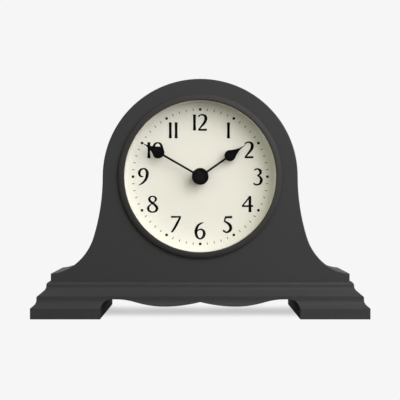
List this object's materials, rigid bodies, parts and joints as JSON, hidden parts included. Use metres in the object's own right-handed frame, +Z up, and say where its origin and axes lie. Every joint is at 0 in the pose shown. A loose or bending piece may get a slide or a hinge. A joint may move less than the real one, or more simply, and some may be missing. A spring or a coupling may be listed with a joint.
{
  "type": "mantel clock",
  "caption": "Tambour mantel clock with a round dial behind glass, spade hands, a flared painted wooden case on a moulded plinth and a battery quartz movement with its wheel train.",
  "frame": {"origin": "on the shelf under the middle of the case, at the underside of the foot pads", "axes": "+Z up, the dial faces -Y, +X to the right as seen from the front"},
  "size_m": [0.29, 0.0854, 0.2083],
  "materials": {
    "painted_wood": "dark grey matt paint",
    "bezel_paint": "dark grey satin paint",
    "clear_glass": "clear flat glass",
    "dial_enamel": "cream matt enamel",
    "rim_plastic": "cream",
    "hand_black": "black satin paint",
    "brass": "turned",
    "rubber": "moulded",
    "felt": "pressed felt",
    "steel": "zinc plated",
    "beech": "turned dowel",
    "black_abs": "moulded, fine grain",
    "white_acetal": "moulded",
    "soft_iron": "stamped",
    "magnet": "sintered",
    "copper_wire": "enamelled wire",
    "board": "solder mask",
    "nickel": "nickel plated",
    "battery_sleeve": "printed sleeve"
  },
  "bodies": {
    "case": {"case_body": "painted_wood", "plinth_moulding": "painted_wood", "base_board": "painted_wood", "foot_pads": "felt", "case_screws": "steel", "locating_dowels": "beech", "bezel_ring": "bezel_paint", "glass_lens": "clear_glass", "dial_spacer": "rim_plastic", "dial_plate": "dial_enamel", "threaded_bush": "brass", "hex_nut": "brass", "nut_washer": "brass", "rubber_gasket": "rubber", "movement_shell": "black_abs", "movement_cover": "black_abs", "bearing_plate": "white_acetal", "stator": "soft_iron", "coil_core": "soft_iron", "coil_bobbin": "white_acetal", "coil_winding": "copper_wire", "circuit_board": "board", "quartz_crystal": "nickel", "battery_contact_positive": "nickel", "battery_contact_negative": "nickel"},
    "minute": {"minute_arbor": "white_acetal", "minute_hand": "hand_black", "hand_cap": "hand_black"},
    "hour": {"hour_wheel": "white_acetal", "hour_hand": "hand_black"},
    "motion": {"motion_wheel": "white_acetal"},
    "setting": {"setting_knob": "black_abs"},
    "centre": {"centre_wheel": "white_acetal"},
    "third": {"third_wheel": "white_acetal"},
    "seconds": {"seconds_wheel": "white_acetal"},
    "intermediate": {"intermediate_wheel": "white_acetal"},
    "rotor": {"rotor": "white_acetal", "rotor_magnet": "magnet"},
    "battery": {"battery": "battery_sleeve"}
  },
  "joints": [
    {"name": "minute_turn", "type": "hinge", "parent": "case", "child": "minute", "pos_m": [0, 0, 0.1231], "axis": [0, 1, 0], "continuous": true},
    {"name": "hour_turn", "type": "hinge", "parent": "case", "child": "hour", "pos_m": [0, 0, 0.1231], "axis": [0, 1, 0], "continuous": true},
    {"name": "motion_turn", "type": "hinge", "parent": "case", "child": "motion", "pos_m": [0.01197, 0, 0.12226], "axis": [0, 1, 0], "continuous": true},
    {"name": "setting_turn", "type": "hinge", "parent": "case", "child": "setting", "pos_m": [0.02164, 0, 0.11622], "axis": [0, 1, 0], "continuous": true},
    {"name": "seconds_turn", "type": "hinge", "parent": "case", "child": "seconds", "pos_m": [-0.00132, 0, 0.13478], "axis": [0, 1, 0], "continuous": true},
    {"name": "third_turn", "type": "hinge", "parent": "case", "child": "third", "pos_m": [-0.00935, 0, 0.1285], "axis": [0, 1, 0], "continuous": true},
    {"name": "centre_turn", "type": "hinge", "parent": "case", "child": "centre", "pos_m": [0, 0, 0.1231], "axis": [0, 1, 0], "continuous": true},
    {"name": "intermediate_turn", "type": "hinge", "parent": "case", "child": "intermediate", "pos_m": [0.00714, 0, 0.1317], "axis": [0, 1, 0], "continuous": true},
    {"name": "rotor_turn", "type": "hinge", "parent": "case", "child": "rotor", "pos_m": [0.01504, 0, 0.13457], "axis": [0, 1, 0], "continuous": true},
    {"name": "battery_slide", "type": "slide", "parent": "case", "child": "battery", "axis": [0, 1, 0], "range_m": [0, 0.03]}
  ],
  "couplings": [
    {"joint": "motion_turn", "follows": "minute_turn", "ratio": -0.33333},
    {"joint": "hour_turn", "follows": "minute_turn", "ratio": 0.083333},
    {"joint": "setting_turn", "follows": "minute_turn", "ratio": 1.25},
    {"joint": "third_turn", "follows": "seconds_turn", "ratio": -0.13333},
    {"joint": "centre_turn", "follows": "seconds_turn", "ratio": 0.016667},
    {"joint": "intermediate_turn", "follows": "seconds_turn", "ratio": -5},
    {"joint": "rotor_turn", "follows": "seconds_turn", "ratio": 30}
  ]
}
